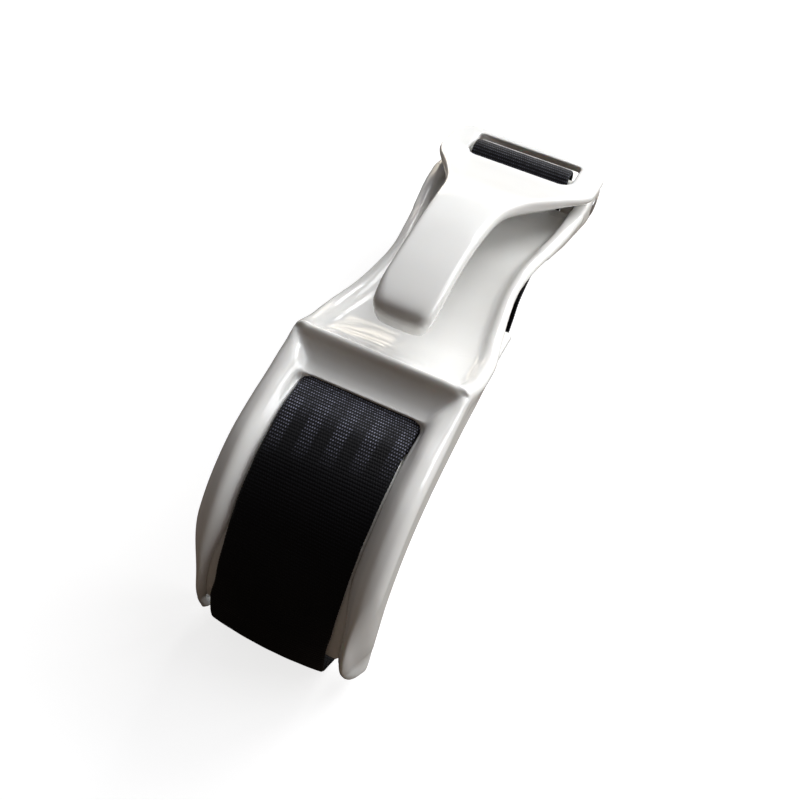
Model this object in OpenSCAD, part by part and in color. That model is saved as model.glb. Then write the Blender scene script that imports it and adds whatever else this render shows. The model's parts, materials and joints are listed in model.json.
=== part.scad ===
// Lever tourniquet: one moulded upper shell (two rails, bridge, finger scoop, ears),
// an arched plate under it, an over-centre lever and one loop of webbing.
// Millimetres, +Z up, X across, Y from the strap end to the lever head.
// The origin is the middle of the underside of the whole object.

/* [Webbing] */
// Width of the webbing
strap_w = 38; // [36:0.5:38.5]
// Thickness of the webbing
strap_t = 1.4; // [1.2:0.1:1.5]

/* [Upper shell] */
// Half width of the strap channel between the rails
channel_half = 22.3; // [22:0.1:22.6]
// Outer half width of the rails
rail_half = 29.2; // [28.4:0.1:29.6]
// Wall left at each side of the finger scoop
scoop_wall = 3.6; // [3:0.1:4.2]
// Thickness of the scoop floor
scoop_t = 2.6; // [2.2:0.1:2.8]

/* [Arched plate] */
// Thickness of the arched plate
plate_t = 2.6; // [2.2:0.1:3]
// Half width of the tongue under the scoop
tongue_half = 27.2; // [26:0.1:27.6]

/* [Lever] */
// Half width of the lever head
head_half = 31; // [30.5:0.1:31.5]
// Half width of the strap slot in the head
slot_half = 20.5; // [20:0.1:20.5]
// Radius of the strap bar
bar_r = 1.6; // [1.4:0.1:1.7]
// Outer radius of the roller on the strap bar
roller_r = 2.5; // [2.4:0.05:2.55]
// Radius of the two pivot studs
stud_r = 2; // [1.8:0.1:2.2]

/* [Hidden] */

// Design points are laid out from the mouth of the strap recess; place() moves them
// to the origin. These are the limits of the whole object in design points.
y_near = -65.6;
y_far = 142.0;
z_low = -56.0;

// Axes running across X, as [y, z]
pivot = [130.5, -35.0];
bar = [126.8, -25.6];
anchor = [10.5, -3.2];

anchor_r = 2.0;
pin_half = 25.3;           // half length of the anchor pin
bar_half = 23.3;           // half length of the strap bar
roller_half = 20.2;        // half length of the roller
run_clear = 0.05;          // radial running clearance
seat_clear = 0.02;         // radial clearance of a fixed part in its hole
ear_in = 24.5;
ear_out = 28.6;
ear_r = 7.5;
lug_in = 20.6;
lug_out = 23.9;
lug_r = 6.2;
bush_r = 3.2;
rail_in = channel_half + 0.2;
plate_screw = [19.2, 31];  // x, y of the right plate screw

metal_color = [0.72, 0.73, 0.75];
bush_color = [0.85, 0.85, 0.83];
web_color = [0.06, 0.06, 0.07];

// --- curve functions; a side curve is a list of [y, z] ---------------------------
// Catmull-Rom point at t between b and c
function spline(a, b, c, d, t) = 0.5 * ((2 * b) + (c - a) * t
    + (2 * a - 5 * b + 4 * c - d) * t * t + (3 * b - a - 3 * c + d) * t * t * t);
// smooth curve through the points, with the given steps in each span
function curve(points, steps = 3) = let (last = len(points) - 1) concat(
    [for (i = [0 : last - 1]) for (k = [0 : steps - 1])
        spline(points[max(i - 1, 0)], points[i], points[i + 1],
               points[min(i + 2, last)], k / steps)],
    [points[last]]);
// unit normal at point i, to the right of travel
function normal(points, i) =
    let (step = points[min(i + 1, len(points) - 1)] - points[max(i - 1, 0)],
         dir = step / norm(step))
    [dir[1], -dir[0]];
// curve moved sideways (positive is to the right of travel)
function shifted(points, d) =
    [for (i = [0 : len(points) - 1]) points[i] + d * normal(points, i)];
function raised(points, d) = [for (p = points) [p[0], p[1] + d]];
function reversed(points) = [for (i = [len(points) - 1 : -1 : 0]) points[i]];
// points whose first coordinate lies between low and high, both excluded
function between(points, low = -999, high = 999) =
    [for (p = points) if (p[0] > low && p[0] < high) p];
// [x, y] points followed by their mirror image, as one closed outline
function symmetric(points) = concat(points, [for (p = reversed(points)) [-p[0], p[1]]]);

// --- shape helpers ---------------------------------------------------------------
module place() translate([0, -(y_near + y_far) / 2, -z_low]) children();
// a [y, z] outline swept across X
module across(x0, x1)
    translate([x0, 0, 0]) rotate([90, 0, 90]) linear_extrude(x1 - x0) children();
// an [x, y] outline swept up Z
module upright(z0, z1) translate([0, 0, z0]) linear_extrude(z1 - z0) children();
module left() mirror([1, 0, 0]) children();
module both() {
    children();
    left() children();
}
// turns Z onto +X, starting at x on the [y, z] axis
module along_x(axis, x) translate([x, axis[0], axis[1]]) rotate([0, 90, 0]) children();
module x_cylinder(axis, r, x0, x1) along_x(axis, x0) cylinder(r = r, h = x1 - x0, $fn = 48);
// area between two curves that travel the same way
module band(first, second) polygon(concat(first, reversed(second)));
// plan outline from [y, half width] stations, narrowed by inset on each side
module plan(stations, inset) polygon(symmetric([for (p = stations) [p[1] - inset, p[0]]]));
module at_plate_screws(z) both() translate([plate_screw[0], plate_screw[1], z]) children();

// --- upper shell -----------------------------------------------------------------
// Rail crest [y, z]
rail_top = curve([
    [-59.2, -54.2], [-62.3, -50.5], [-63.6, -45], [-63.4, -38.2], [-61.2, -30.5],
    [-55.5, -19.8], [-47.2, -10.2], [-37.2, -2.5], [-25.2, 3.0], [-12, 5.1],
    [-2, 5.4], [6, 5.9], [11.5, 6.9]]);
// Underside of the rails and of the scoop sides [y, z]
rail_bottom = curve([
    [-59.2, -54.2], [-55.5, -54.0], [-52.6, -50], [-47.6, -38.5], [-41, -26.5],
    [-32.5, -18.8], [-22, -14.2], [-10, -11.9], [4, -11.9], [16, -12.6],
    [27, -13.0], [34, -13.4], [45, -15.4], [57, -16.8], [69, -18.0],
    [83, -21.8], [92, -25.8], [101, -29.6], [112, -32.5]]);
// Top of the scoop rims [y, z]
rim_top = curve([
    [11.5, 6.9], [13, 6.9], [15, 5.0], [20, 0.0], [26, -4.2], [33, -7.8], [45, -11.2],
    [57, -12.9], [67, -14.0], [78, -15.4], [92, -19.4], [105, -21.4], [114, -24.0],
    [120, -26.6]]);
// Scoop floor [y, z]
floor_top = curve([
    [14.5, 5.2], [18, 0.6], [22, -3.6], [28, -7.6], [36, -11.2], [46, -13.9],
    [57, -15.5], [67, -16.6], [78, -18.2], [91, -22.4], [101, -25.4], [110, -27.6],
    [116, -28.8]]);
// Scoop in plan [y, half width]
scoop_plan = curve([
    [-8, 28.6], [12, 28.2], [20, 28.5], [33, 28.0], [45, 25.9], [57, 24.2],
    [67, 23.4], [78, 24.1], [91, 26.2], [101, 28.2], [110, 28.9], [118, 28.9]]);
bridge_front = [[2.2, 1.6], [6, 2.2], [9.2, 3.6], [11.0, 5.6]]; // up to the rims [y, z]
side_wall = 2.8;           // wall left at each side of the hollow under the scoop
body_half = 30;            // wider than the scoop plan, which trims it

module rails() both() across(rail_in, rail_half) band(rail_top, between(rail_bottom, high = 12));

module scoop_body() intersection() {
    across(-body_half, body_half) polygon(concat(
        bridge_front, rim_top, [[118, -32], [112, -32.5]],
        reversed(between(rail_bottom, 2, 112))));
    upright(-60, 20) plan(between(scoop_plan, 0), 0);
}

module finger_scoop() intersection() {
    across(-body_half, body_half)
        polygon(concat(floor_top, [[122, -29], [122, 20], [14.5, 20]]));
    upright(-60, 30) plan(between(scoop_plan, 13), scoop_wall);
}

// open below, under the bridge and the scoop floor
module under_hollow() intersection() {
    across(-rail_in, rail_in) polygon(concat(
        [[-1, -2], [2.2, 1.6], [8, 1.6], [12.5, 1.6]],
        raised(between(floor_top, 16.5), -scoop_t),
        [[122, -31.4], [122, -60], [-1, -60]]));
    upright(-60, 30) plan(between(scoop_plan, -3), side_wall);
}

module bridge_and_scoop() difference() {
    scoop_body();
    finger_scoop();
    under_hollow();
}

module ears() both() across(ear_in, ear_out) union() {
    translate(pivot) circle(r = ear_r, $fn = 64);
    polygon([[108, -22.6], [114, -24.2], [124, -28.2],
             [pivot[0], pivot[1] + ear_r], [pivot[0], pivot[1] - ear_r],
             [124, -40.6], [116, -36.4], [106, -31.2]]);
}

module bosses() at_plate_screws(-14.2) cylinder(r = 3, h = 3.7, $fn = 32);

module upper_shell() color([0.93, 0.93, 0.91]) place() difference() {
    union() {
        rails();
        bridge_and_scoop();
        ears();
        bosses();
    }
    x_cylinder(anchor, anchor_r + seat_clear, -(pin_half + 0.2), pin_half + 0.2);
    both() x_cylinder(pivot, bush_r + seat_clear, ear_in - 1, ear_out + 1);
    at_plate_screws(-16) cylinder(r = 1.25, h = 6.6, $fn = 32);
    // lug and washer space inside the ears
    across(-ear_in, ear_in) polygon([[112.8, -19], [145, -19], [145, -60], [112.8, -60]]);
}

// --- arched plate ----------------------------------------------------------------
// Top face [y, z], from the channel end to the tongue tip
plate_top = curve([
    [-61.6, -40.6], [-58.55, -31.6], [-52.8, -22.1], [-44.6, -13.4], [-35.3, -6.2],
    [-24.2, -1.05], [-15, 0.6], [-9.5, -1.3], [-2, -2.4], [2.5, -4.6], [6, -7.3],
    [14.5, -8.2], [20, -11.3], [25, -13.9], [34, -15.6], [44, -17.4], [54.5, -20.2]]);
// Right side of the tongue in plan [x, y]
tongue_side = [[channel_half, 22.9], [channel_half, 26.2], [tongue_half - 1.2, 27.4],
               [tongue_half, 30], [tongue_half, 51.5], [tongue_half - 1.6, 57]];

module arc_plate() color([0.92, 0.92, 0.90]) place() difference() {
    intersection() {
        across(-tongue_half, tongue_half) band(plate_top, shifted(plate_top, plate_t));
        union() {
            upright(-70, 20) polygon(symmetric([[channel_half, -70], [channel_half, 23]]));
            upright(-70, 20) polygon(symmetric(tongue_side));
        }
    }
    at_plate_screws(-25) cylinder(r = 1.6, h = 15, $fn = 32);
}

module plate_screws() color(metal_color) place() at_plate_screws(0) difference() {
    // shank, head and neck
    union() {
        translate([0, 0, -17.6]) cylinder(r = 1.22, h = 7.4, $fn = 32);
        translate([0, 0, -19.4]) cylinder(r = 2.6, h = 1.25, $fn = 32);
        translate([0, 0, -18.3]) cylinder(r = 1.5, h = 1.0, $fn = 32);
    }
    // cross recess
    for (arm = [[3, 0.6], [0.6, 3]])
        translate([-arm[0] / 2, -arm[1] / 2, -19.6]) cube([arm[0], arm[1], 0.8]);
}

module anchor_pin() color(metal_color) place() difference() {
    x_cylinder(anchor, anchor_r, -pin_half, pin_half);
    // end chamfers
    both() along_x(anchor, pin_half - 0.3) rotate_extrude($fn = 48)
        polygon([[anchor_r - 0.3, 0.4], [anchor_r + 1, -0.9], [anchor_r + 1, 0.4]]);
}

// --- pivot hardware, drawn on the right (+X) side --------------------------------
// Stud head from its axis [radius, height]
stud_head = [[0, 0], [3.9, 0], [3.9, 0.35], [3.5, 0.8], [2.6, 1.05], [0, 1.15]];

module ear_bush() difference() {
    union() {
        x_cylinder(pivot, bush_r, ear_in, ear_out);
        x_cylinder(pivot, bush_r + 1.2, ear_in - 0.45, ear_in); // flange
    }
    x_cylinder(pivot, stud_r + 0.03, 20, 30);
}

module pivot_stud() union() {
    x_cylinder(pivot, stud_r, 19.7, ear_out + 0.2);
    along_x(pivot, ear_out + 0.05) rotate_extrude($fn = 48) polygon(stud_head);
    x_cylinder(pivot, stud_r + 0.6, 19.3, 19.8); // collar at the inner end
}

module stud_washer() difference() {
    x_cylinder(pivot, 4.2, 19.85, 20.45);
    x_cylinder(pivot, stud_r + 0.04, 19, 21);
}

module ear_bush_right() color(bush_color) place() ear_bush();
module ear_bush_left() color(bush_color) place() left() ear_bush();
module pivot_stud_right() color(metal_color) place() pivot_stud();
module pivot_stud_left() color(metal_color) place() left() pivot_stud();
module stud_washer_right() color(metal_color) place() stud_washer();
module stud_washer_left() color(metal_color) place() left() stud_washer();

// --- lever -----------------------------------------------------------------------
// Handle in plan [y, half width]
lever_half = curve([
    [21.9, 0], [22.1, 3.5], [23.2, 7.0], [26, 9.4], [34, 10.0], [46, 10.4], [61, 10.9],
    [73, 11.7], [82, 13.0], [90, 15.4], [98, 19.1], [106.5, 23.6], [113, 27.4],
    [118.5, 30.1]]);
// Right side of the head in plan [x, y]
head_side = [[head_half - 0.2, 120], [head_half, 122], [head_half, 131],
             [head_half - 1.0, 136], [head_half - 3.6, 139.8], [head_half - 8, y_far]];
// Top and underside [y, z]
lever_top = curve([
    [21.9, 8.0], [22.6, 12.0], [25.2, 14.6], [30, 15.5], [38, 15.9], [48, 15.4],
    [60, 13.6], [72, 10.3], [82, 5.8], [92, -0.4], [101, -6.6], [110, -12.6],
    [118, -17.7], [124, -20.6], [132, -23.2], [y_far, -25.8]]);
lever_bottom = curve([
    [21.9, 8.0], [22.4, 5.4], [24.2, 4.0], [28, 4.2], [36, 5.9], [48, 6.6],
    [60, 5.6], [72, 2.4], [82, -1.8], [92, -7.4], [101, -13.0], [110, -17.6],
    [118, -21.8], [124, -24.2], [132, -26.8], [y_far, -29.2]]);

slot_near = 122.3;         // strap slot ends in y
slot_far = 137.1;
slot_cut = 1.5;            // corner cut of the slot
hollow_half = 7.6;         // hollow in the handle: half width and ends in y
hollow_near = 31;
hollow_far = 95;
cover_gap = 0.1;           // gap round the cover in the hollow

// The two cover screws, nearer the handle tip first: y, then lower end z of each part
cover_screw_y = [42, 80];
post_z = [8.3, 2.0];
post_hole_z = [8.0, 1.0];
cover_hole_z = [0, -6];
shank_z = [6.2, -1.9];
shank_len = [5.8, 6.9];

// handle part of a lever curve, raised by d
function handle(points, d) = between(raised(points, d), 24, 102);

module cover_cylinders(z_low_ends, r, h) for (i = [0, 1])
    translate([0, cover_screw_y[i], z_low_ends[i]]) cylinder(r = r, h = h, $fn = 32);

// on the right side, curve points below y = 22 are held on the centre line
module lever_plan() polygon(concat(
    [for (p = lever_half) [p[0] < 22 ? 0 : p[1], p[0]]],
    symmetric(head_side),
    [for (i = [len(lever_half) - 1 : -1 : 1]) [-lever_half[i][1], lever_half[i][0]]]));

// lugs round the pivot, carrying the strap bar
module lugs() both() across(lug_in, lug_out) union() {
    translate(pivot) circle(r = lug_r, $fn = 64);
    polygon([[122.6, -22], [137.6, -26.4], [pivot[0] + lug_r, pivot[1]],
             [pivot[0] - lug_r, pivot[1]], [122.6, -28.4]]);
}

module strap_slot() upright(-60, 0) polygon(symmetric([
    [slot_half - slot_cut, slot_near], [slot_half, slot_near + slot_cut],
    [slot_half, slot_far - slot_cut], [slot_half - slot_cut, slot_far]]));

// open underneath, with two screw posts left standing
module handle_hollow() difference() {
    intersection() {
        across(-8, 8) band(handle(lever_top, -2.6), handle(lever_bottom, -3));
        upright(-60, 30)
            polygon(symmetric([[hollow_half, hollow_near], [hollow_half, hollow_far]]));
    }
    cover_cylinders(post_z, r = 2.6, h = 12);
}

module lever_shell() color([0.94, 0.94, 0.93]) place() difference() {
    union() {
        intersection() {
            across(-head_half, head_half) band(lever_top, lever_bottom);
            upright(-60, 30) lever_plan();
        }
        lugs();
    }
    strap_slot();
    handle_hollow();
    cover_cylinders(post_hole_z, r = 1.22, h = 4.2);
    both() x_cylinder(bar, bar_r + seat_clear, 20, bar_half + 0.1);
    both() x_cylinder(pivot, stud_r + run_clear, 20, 24.4);
}

cover_half = hollow_half - cover_gap;
module lever_under_cover() color([0.90, 0.90, 0.88]) place() difference() {
    intersection() {
        across(-cover_half, cover_half)
            band(handle(lever_bottom, 1.7), handle(lever_bottom, 0.1));
        upright(-60, 30) polygon(symmetric([[cover_half, hollow_near + cover_gap],
                                            [cover_half, hollow_far - cover_gap]]));
    }
    cover_cylinders(cover_hole_z, r = 1.35, h = 20);
}

module cover_screw(length) union() {
    cylinder(r = 1.2, h = length, $fn = 32);
    translate([0, 0, -1.1]) cylinder(r = 2.2, h = 1.15, $fn = 32);
}

module cover_screws() color(metal_color) place() for (i = [0, 1])
    translate([0, cover_screw_y[i], shank_z[i]]) cover_screw(shank_len[i]);

module strap_bar() color(metal_color) place() x_cylinder(bar, bar_r, -bar_half, bar_half);

module bar_roller() color([0.80, 0.80, 0.78]) place() difference() {
    x_cylinder(bar, roller_r, -roller_half, roller_half);
    x_cylinder(bar, bar_r + run_clear, -21, 21);
}

// --- webbing ---------------------------------------------------------------------
web_half = strap_w / 2;
web_trim = 0.02;           // taken off the thickness of the curved runs
eye_in = anchor_r + 0.06;
eye_out = eye_in + strap_t;
wrap_in = roller_r + 0.1;
wrap_out = wrap_in + strap_t;
under_near = -54;          // y where the end bend and the riser reach the bottom
under_far = 64;
under_gap = 0.15;          // gap at each end of the under run

// Each face is [y, z]; the webbing lies to the left of travel
// top face along the channel, travelling towards -Y
trough_face = curve([
    [-1.0, 0.9], [-5.5, 1.9], [-12, 2.5], [-24.5, 0.4], [-36, -4.9], [-45.5, -12.3],
    [-54, -21.2], [-60, -31.0], [-63.2, -39.5]], 4);
// outer face round the plate end, travelling down
bend_face = curve([
    [-63.2, -39.5], [-64.8, -44], [y_near, -48.5], [-64.0, -52.6], [-60, -55.2],
    [under_near, z_low]], 4);
// undersides, travelling towards +Y
riser_face = curve([
    [under_far, z_low], [70, -55.2], [75.4, -52.2], [79.4, -46.4], [83.2, -40.6],
    [89, -38.0], [98, -37.0], [108, -36.2], [116, -34.2], [120.2, -31.6]], 4);
tail_face = curve([
    [86, -33.2], [94, -34.3], [104, -34.0], [112, -32.6], [118, -30.6], [120.4, -28.8]], 4);

module web() color(web_color) place() across(-web_half, web_half) children();
module web_run(face) web() band(face, shifted(face, web_trim - strap_t));

module strap_eye() web() union() {
    // half ring on the +Y side of the anchor pin
    difference() {
        translate(anchor) circle(r = eye_out, $fn = 48);
        translate(anchor) circle(r = eye_in, $fn = 48);
        translate([anchor[0] - 10, anchor[1] - 10]) square([10, 20]);
    }
    // upper and lower layers, sewn together on the way to the channel
    polygon([[anchor[0], anchor[1] + eye_out], [6, 0.45], [2, 0.5], [-1.0, 0.9],
             [-1.2, -0.5], [2, -0.9], [6, -0.95], [anchor[0], anchor[1] + eye_in]]);
    polygon([[anchor[0], anchor[1] - eye_in], [7.5, -4.9], [5.2, -3.0], [2, -0.92],
             [-1.2, -0.52], [-7, -0.1], [-7.1, -1.1], [-1.4, -1.95], [2, -2.6],
             [5.2, -4.7], [7.2, -6.35], [anchor[0], anchor[1] - eye_out]]);
}

module strap_trough_run() web_run(trough_face);
module strap_end_bend() web_run(bend_face);
module strap_riser() web_run(riser_face);
module strap_tail() web_run(tail_face);

module strap_under_run() color(web_color) place()
    translate([-web_half, under_near + under_gap, z_low])
        cube([strap_w, under_far - under_near - 2 * under_gap, strap_t]);

// ring round the roller, open below on the -Y side
module strap_bar_wrap() web() difference() {
    translate(bar) circle(r = wrap_out, $fn = 48);
    translate(bar) circle(r = wrap_in, $fn = 48);
    translate(bar) polygon([[0, 0], [-9, -1.2], [-9, -9], [-2.2, -9]]);
}

upper_shell();
arc_plate();
plate_screws();
anchor_pin();
ear_bush_left();
ear_bush_right();
pivot_stud_left();
pivot_stud_right();
stud_washer_left();
stud_washer_right();
lever_shell();
lever_under_cover();
cover_screws();
strap_bar();
bar_roller();
strap_eye();
strap_trough_run();
strap_end_bend();
strap_under_run();
strap_riser();
strap_bar_wrap();
strap_tail();
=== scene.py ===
import json
import math

import bmesh
import bpy
import numpy as np
from mathutils import Matrix, Vector

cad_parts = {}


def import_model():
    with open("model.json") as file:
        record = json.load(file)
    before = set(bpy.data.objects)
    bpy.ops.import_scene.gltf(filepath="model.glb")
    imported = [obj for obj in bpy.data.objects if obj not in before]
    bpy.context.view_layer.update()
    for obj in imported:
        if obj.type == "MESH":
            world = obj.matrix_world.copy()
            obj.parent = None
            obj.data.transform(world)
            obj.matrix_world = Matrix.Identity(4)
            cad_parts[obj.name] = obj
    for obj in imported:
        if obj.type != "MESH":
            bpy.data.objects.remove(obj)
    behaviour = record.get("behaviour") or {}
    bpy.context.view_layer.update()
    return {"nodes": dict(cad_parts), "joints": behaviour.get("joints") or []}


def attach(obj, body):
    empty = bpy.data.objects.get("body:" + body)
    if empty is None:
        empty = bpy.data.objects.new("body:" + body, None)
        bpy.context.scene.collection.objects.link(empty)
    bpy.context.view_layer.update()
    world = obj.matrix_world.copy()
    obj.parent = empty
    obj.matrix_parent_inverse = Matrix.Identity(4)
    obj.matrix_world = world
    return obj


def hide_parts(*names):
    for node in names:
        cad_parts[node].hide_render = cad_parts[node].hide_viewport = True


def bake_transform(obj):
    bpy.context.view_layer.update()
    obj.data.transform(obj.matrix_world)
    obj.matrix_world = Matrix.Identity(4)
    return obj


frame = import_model()

# Shared places, mm
HINGE = (130.5, -35.0)        # y, z
STRAP_BAR = (126.8, -25.6)    # y, z
ANCHOR_PIN = (10.5, -3.2)     # y, z
PLATE_SCREW = (19.2, 31.0)    # |x|, y
# y, z of the post's lower end, z of the head's seat
COVER_SCREWS = ((42, 8.3, 6.25), (80, 2.0, -1.85))
COVER_Y = 63.0                # middle of the lever's underside cover
POCKET_HALF = (7.6, 32.0)     # half sizes in x and y of the pocket it closes
COVER_GAP = 0.18

hinge_m = [joint for joint in frame["joints"] if joint["name"] == "lever_hinge"][0]["pos_m"]
ORIGIN = np.array([0.0, HINGE[0] - hinge_m[1] * 1000.0, HINGE[1] - hinge_m[2] * 1000.0])


def world(points):
    return (np.asarray(points, float) - ORIGIN) * 0.001


# ---------------------------------------------------------------------------
# Curves and outlines
# ---------------------------------------------------------------------------
def curve(points, steps):
    """Catmull-Rom curve through the points, with the given steps per span."""
    points = np.asarray(points, float)
    count = len(points)
    out = []
    for i in range(count - 1):
        p0, p1 = points[max(i - 1, 0)], points[i]
        p2, p3 = points[i + 1], points[min(i + 2, count - 1)]
        for k in range(steps):
            t = k / steps
            out.append(0.5 * (2 * p1 + (p2 - p0) * t + (2 * p0 - 5 * p1 + 4 * p2 - p3) * t * t
                              + (3 * p1 - p0 - 3 * p2 + p3) * t * t * t))
    out.append(points[-1])
    return np.array(out)


def arc(centre, radii, start, end, count):
    """Points on an ellipse between two angles in degrees."""
    angle = np.radians(np.linspace(start, end, count))
    return np.stack([centre[0] + radii[0] * np.cos(angle),
                     centre[1] + radii[1] * np.sin(angle)], 1)


def normals(line):
    """Unit normals to the right of the direction of travel."""
    along = np.gradient(line, axis=0)
    along /= np.linalg.norm(along, axis=1)[:, None]
    return np.stack([along[:, 1], -along[:, 0]], 1)


def offset(line, distance):
    return line + distance * normals(line)


def polygon_distance(polygon, U, V):
    """Signed distance to a closed polygon, negative inside."""
    best = np.full(U.shape, 1e18)
    inside = np.zeros(U.shape, bool)
    for start, end in zip(polygon, np.roll(polygon, -1, axis=0)):
        edge = end - start
        length2 = edge @ edge
        if length2 < 1e-12:
            continue
        from_u, from_v = U - start[0], V - start[1]
        t = np.clip((from_u * edge[0] + from_v * edge[1]) / length2, 0, 1)
        du, dv = from_u - t * edge[0], from_v - t * edge[1]
        best = np.minimum(best, du * du + dv * dv)
        if start[1] != end[1]:
            spans = ((start[1] <= V) & (end[1] > V)) | ((end[1] <= V) & (start[1] > V))
            crossing = start[0] + (V - start[1]) * edge[0] / edge[1]
            inside ^= spans & (U < crossing)
    distance = np.sqrt(best)
    return np.where(inside, -distance, distance)


class Outline:
    """Signed distance to an outline, sampled on a grid and read back bilinearly."""

    def __init__(self, *parts, low=(-72.0, -64.0), high=(150.0, 26.0), step=0.3):
        self.low, self.step = low, step
        self.count = [int(math.ceil((high[i] - low[i]) / step)) + 1 for i in range(2)]
        u, v = [low[i] + step * np.arange(self.count[i]) for i in range(2)]
        self.grid = polygon_distance(np.vstack(parts), *np.meshgrid(u, v, indexing="ij"))

    def __call__(self, u, v):
        u = np.clip((u - self.low[0]) / self.step, 0, self.count[0] - 1.001)
        v = np.clip((v - self.low[1]) / self.step, 0, self.count[1] - 1.001)
        iu, iv = u.astype(int), v.astype(int)
        tu, tv = u - iu, v - iv
        grid = self.grid
        return ((grid[iu, iv] * (1 - tu) + grid[iu + 1, iv] * tu) * (1 - tv)
                + (grid[iu, iv + 1] * (1 - tu) + grid[iu + 1, iv + 1] * tu) * tv)


# ---------------------------------------------------------------------------
# Distance fields are negative inside.  soft_max intersects two of them and soft_min
# joins them, each with a fillet of the given size; cut takes a tool away from a body.
# ---------------------------------------------------------------------------
def soft_max(a, b, fillet):
    h = np.maximum(fillet - np.abs(a - b), 0) / fillet
    return np.maximum(a, b) + h * h * fillet * 0.25


def soft_min(a, b, fillet):
    return -soft_max(-a, -b, fillet)


def cut(body, tool, fillet):
    return soft_max(body, -tool, fillet)


def between(value, low, high, fillet):
    return soft_max(low - value, value - high, fillet)


def ease(start, end, value):
    """Smooth step from 0 at start to 1 at end."""
    t = np.clip((value - start) / (end - start), 0, 1)
    return t * t * (3 - 2 * t)


def radius(u, v, centre):
    return np.sqrt((u - centre[0]) ** 2 + (v - centre[1]) ** 2)


def soft_abs(x):
    return np.sqrt(x * x + 0.01)


def rounded_rect(x, y, centre_y, half_x, half_y, corner):
    qx, qy = np.abs(x) - (half_x - corner), np.abs(y - centre_y) - (half_y - corner)
    outside = np.sqrt(np.maximum(qx, 0) ** 2 + np.maximum(qy, 0) ** 2)
    return outside + np.minimum(np.maximum(qx, qy), 0) - corner


# ---------------------------------------------------------------------------
# Surface nets: one vertex in each grid cell the surface crosses
# ---------------------------------------------------------------------------
CORNERS = [(i, j, k) for i in (0, 1) for j in (0, 1) for k in (0, 1)]
CELL_EDGES = [(a, b) for a in range(8) for b in range(a + 1, 8)
              if sum(abs(CORNERS[a][q] - CORNERS[b][q]) for q in range(3)) == 1]
RELAX_PASSES = 4
GRADIENT_STEP = 0.3


def gradient(field, points):
    grad = np.zeros_like(points)
    for q in range(3):
        shift = np.zeros(3)
        shift[q] = GRADIENT_STEP
        grad[:, q] = ((field(*(points + shift).T) - field(*(points - shift).T))
                      / (2 * GRADIENT_STEP))
    return grad


def unit_gradient(field, points):
    grad = gradient(field, points)
    return grad / np.maximum(np.linalg.norm(grad, axis=1), 1e-6)[:, None]


def net_quads(inside, cell_index):
    """Four cells round each grid edge that crosses the surface."""
    count = inside.shape
    quads = []
    for axis in range(3):
        o1, o2 = [q for q in range(3) if q != axis]
        lower = np.take(inside, range(count[axis] - 1), axis)
        upper = np.take(inside, range(1, count[axis]), axis)
        edge = np.argwhere(lower != upper)
        edge = edge[(edge[:, o1] > 0) & (edge[:, o1] < count[o1] - 1)
                    & (edge[:, o2] > 0) & (edge[:, o2] < count[o2] - 1)]
        flip = ~lower[tuple(edge.T)]
        if axis == 1:
            flip = ~flip
        ring = []
        for d1, d2 in ((-1, -1), (0, -1), (0, 0), (-1, 0)):
            cell = edge.copy()
            cell[:, o1] += d1
            cell[:, o2] += d2
            ring.append(cell_index[tuple(cell.T)])
        quad = np.stack(ring, 1)
        quad[flip] = quad[flip][:, ::-1]
        quads.append(quad)
    return np.concatenate(quads)


def settle(field, verts, quads, step):
    """Even out the vertices along the surface and pull them back onto it."""
    edges = np.concatenate([quads[:, [k, (k + 1) % 4]] for k in range(4)])
    edges = np.concatenate([edges, edges[:, ::-1]])
    degree = np.bincount(edges[:, 0], minlength=len(verts)).astype(float)
    for relax_pass in range(RELAX_PASSES):
        if relax_pass < RELAX_PASSES - 1:
            mean = np.stack([np.bincount(edges[:, 0], verts[edges[:, 1], q], len(verts))
                             for q in range(3)], 1) / degree[:, None]
            normal = unit_gradient(field, verts)
            slide = mean - verts
            slide -= (slide * normal).sum(1)[:, None] * normal
            verts = verts + 0.6 * slide
        for _ in range(2):
            value = field(*verts.T)
            grad = gradient(field, verts)
            move = -(value / np.maximum((grad * grad).sum(1), 0.05))[:, None] * grad
            length = np.linalg.norm(move, axis=1)
            move *= np.minimum(1, 0.5 * step / np.maximum(length, 1e-9))[:, None]
            verts = verts + move
    return verts


def surface_net(field, low, high, step):
    low, high = np.array(low, float), np.array(high, float)
    count = np.ceil((high - low) / step).astype(int) + 1
    axes = [low[i] + step * np.arange(count[i]) for i in range(3)]
    X, Y, Z = axes[0][:, None, None], axes[1][None, :, None], axes[2][None, None, :]
    Y, Z = np.broadcast_arrays(Y, Z)
    values = np.broadcast_to(field(X, Y, Z), tuple(count)).astype(np.float64)
    inside = values < 0
    cells = tuple(count - 1)
    corners_in = np.zeros(cells, np.int8)
    for corner in CORNERS:
        corners_in += inside[tuple(slice(o, o + n) for o, n in zip(corner, cells))]
    active = np.argwhere((corners_in > 0) & (corners_in < 8))
    cell_index = np.full(cells, -1, np.int64)
    cell_index[tuple(active.T)] = np.arange(len(active))
    at_corner = [values[tuple((active + corner).T)] for corner in CORNERS]
    total = np.zeros((len(active), 3))
    crossings = np.zeros(len(active))
    for a, b in CELL_EDGES:
        crosses = (at_corner[a] < 0) != (at_corner[b] < 0)
        t = np.where(crosses, at_corner[a] / np.where(crosses, at_corner[a] - at_corner[b], 1.0), 0)
        start, end = np.array(CORNERS[a], float), np.array(CORNERS[b], float)
        total += np.where(crosses[:, None], start + t[:, None] * (end - start), 0)
        crossings += crosses
    verts = low + step * (active + total / crossings[:, None])
    quads = net_quads(inside, cell_index)
    verts = settle(field, verts, quads, step)
    return verts, quads, unit_gradient(field, verts)


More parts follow.
